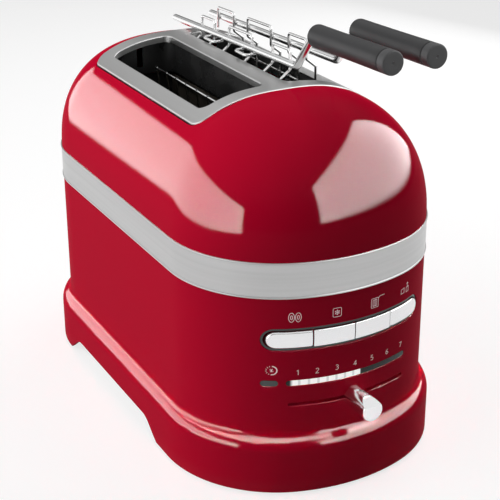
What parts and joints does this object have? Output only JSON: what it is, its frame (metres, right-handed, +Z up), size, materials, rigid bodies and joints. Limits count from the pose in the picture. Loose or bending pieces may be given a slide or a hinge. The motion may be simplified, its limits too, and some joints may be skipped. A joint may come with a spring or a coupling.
{
  "type": "pop up toaster",
  "caption": "Long-slot pop up toaster with a domed enamelled shell, motor lift, push buttons, sliding browning control and a lift-out clamp rack in one slot.",
  "frame": {"origin": "on the table under the middle of the body", "axes": "+Z up, the controls face -Y, +X to the right seen from the front"},
  "size_m": [0.1874, 0.3739, 0.2803],
  "materials": {
    "red_paint": "gloss metallic enamel",
    "brushed_band": "brushed satin",
    "brushed_steel": "brushed satin",
    "steel": "plain sheet",
    "black_steel": "baked black",
    "wire": "polished",
    "chrome": "polished",
    "dark_plastic": "satin",
    "black_plastic": "satin",
    "white_plastic": "satin",
    "smoke_lens": "polished",
    "light_pipe": "frosted",
    "circuit_board": "solder mask",
    "rubber": "matt",
    "grip": "satin",
    "mica": "satin",
    "ribbon": "oxidised"
  },
  "bodies": {
    "housing": {"lower_housing": "red_paint", "trim_band": "brushed_band", "top_shell": "red_paint", "slot_plate": "brushed_steel", "slot_throats": "black_steel", "button_bezel": "dark_plastic", "button_switches": "black_plastic", "light_bar_lens": "smoke_lens", "timer_lens": "smoke_lens", "light_pipes": "light_pipe", "slider_guide": "black_plastic", "control_board": "circuit_board", "power_board": "circuit_board", "transformer": "steel", "relay": "black_plastic", "terminal_block": "black_plastic", "cord_gland": "rubber", "bottom_plate": "steel", "rubber_feet": "rubber", "base_screws": "steel", "cord_wrap_hooks": "black_plastic", "chamber_front_plate": "black_steel", "chamber_rear_plate": "black_steel", "left_heat_shield": "steel", "right_heat_shield": "steel", "centre_reflector": "black_steel", "left_heater_boards": "mica", "right_heater_boards": "mica", "left_heater_ribbons": "ribbon", "right_heater_ribbons": "ribbon", "guide_rods": "wire", "gear_plate": "steel", "lift_motor": "steel"},
    "bagel_button": {"bagel_button": "chrome"},
    "frozen_button": {"frozen_button": "chrome"},
    "sandwich_button": {"sandwich_button": "chrome"},
    "lift_button": {"lift_button": "chrome"},
    "browning_slider": {"slider_carriage": "black_plastic", "browning_knob": "chrome"},
    "crumb_drawer": {"crumb_tray": "brushed_steel", "crumb_tray_grip": "black_plastic"},
    "carriage": {"carriage_bracket": "steel", "left_cradle": "wire", "right_cradle": "wire", "lift_rack": "black_plastic"},
    "drive_gear": {"drive_gear": "white_plastic"},
    "motor_pinion": {"motor_pinion": "white_plastic"},
    "left_outer_guard": {"left_outer_guard": "wire"},
    "left_inner_guard": {"left_inner_guard": "wire"},
    "right_inner_guard": {"right_inner_guard": "wire"},
    "right_outer_guard": {"right_outer_guard": "wire"},
    "rack_left": {"rack_left_rod": "wire", "rack_left_grid": "wire", "rack_hinge_pin": "wire", "rack_left_grip": "grip", "rack_left_cap": "grip"},
    "rack_right": {"rack_right_rod": "wire", "rack_right_grid": "wire", "rack_right_grip": "grip", "rack_right_cap": "grip"}
  },
  "joints": [
    {"name": "bagel_button_press", "type": "slide", "parent": "housing", "child": "bagel_button", "axis": [0, 1, 0], "range_m": [0, 0.0015], "stiffness_N_per_m": 900, "springref_m": -0.0012},
    {"name": "frozen_button_press", "type": "slide", "parent": "housing", "child": "frozen_button", "axis": [0, 1, 0], "range_m": [0, 0.0015], "stiffness_N_per_m": 900, "springref_m": -0.0012},
    {"name": "sandwich_button_press", "type": "slide", "parent": "housing", "child": "sandwich_button", "axis": [0, 1, 0], "range_m": [0, 0.0015], "stiffness_N_per_m": 900, "springref_m": -0.0012},
    {"name": "lift_button_press", "type": "slide", "parent": "housing", "child": "lift_button", "axis": [0, 1, 0], "range_m": [0, 0.0015], "stiffness_N_per_m": 900, "springref_m": -0.0012},
    {"name": "browning_slide", "type": "hinge", "parent": "housing", "child": "browning_slider", "pos_m": [0, -0.049, 0.0612], "axis": [0, 0, 1], "range_deg": [-18.8, 18.8]},
    {"name": "crumb_tray_slide", "type": "slide", "parent": "housing", "child": "crumb_drawer", "axis": [0, 1, 0], "range_m": [0, 0.22]},
    {"name": "lift", "type": "slide", "parent": "housing", "child": "carriage", "axis": [0, 0, 1], "range_m": [0, 0.058]},
    {"name": "drive_gear_spin", "type": "hinge", "parent": "housing", "child": "drive_gear", "pos_m": [0.0405, -0.085, 0.1], "axis": [0, 1, 0], "range_deg": [-1, 317.49]},
    {"name": "motor_pinion_spin", "type": "hinge", "parent": "housing", "child": "motor_pinion", "pos_m": [0.0405, -0.09, 0.128], "axis": [0, 1, 0], "range_deg": [-1161.47, 1]},
    {"name": "left_outer_guard_swing", "type": "hinge", "parent": "housing", "child": "left_outer_guard", "pos_m": [-0.0518, 0.0096, 0.084], "axis": [0, -1, 0], "range_deg": [-0.05, 5.99]},
    {"name": "left_inner_guard_swing", "type": "hinge", "parent": "housing", "child": "left_inner_guard", "pos_m": [-0.0078, 0.0096, 0.084], "axis": [0, 1, 0], "range_deg": [-0.05, 5.99]},
    {"name": "right_inner_guard_swing", "type": "hinge", "parent": "housing", "child": "right_inner_guard", "pos_m": [0.0078, 0.0096, 0.084], "axis": [0, -1, 0], "range_deg": [-0.05, 0.4874]},
    {"name": "right_outer_guard_swing", "type": "hinge", "parent": "housing", "child": "right_outer_guard", "pos_m": [0.0518, 0.0096, 0.084], "axis": [0, 1, 0], "range_deg": [-0.05, 0.4874]},
    {"name": "rack_lift_out", "type": "slide", "parent": "carriage", "child": "rack_left", "axis": [0, 0, 1], "range_m": [0, 0.17]},
    {"name": "rack_squeeze", "type": "hinge", "parent": "rack_left", "child": "rack_right", "pos_m": [0.0298, 0, 0.0876], "axis": [0, -1, 0], "range_deg": [0, 4]}
  ],
  "couplings": [
    {"joint": "drive_gear_spin", "follows": "lift", "rad_per_m": 95.238},
    {"joint": "motor_pinion_spin", "follows": "lift", "rad_per_m": -349.21},
    {"joint": "left_outer_guard_swing", "follows": "lift", "rad_per_m": 1.7867},
    {"joint": "left_inner_guard_swing", "follows": "lift", "rad_per_m": 1.7867},
    {"joint": "right_inner_guard_swing", "follows": "lift", "rad_per_m": 0.13162},
    {"joint": "right_outer_guard_swing", "follows": "lift", "rad_per_m": 0.13162}
  ]
}
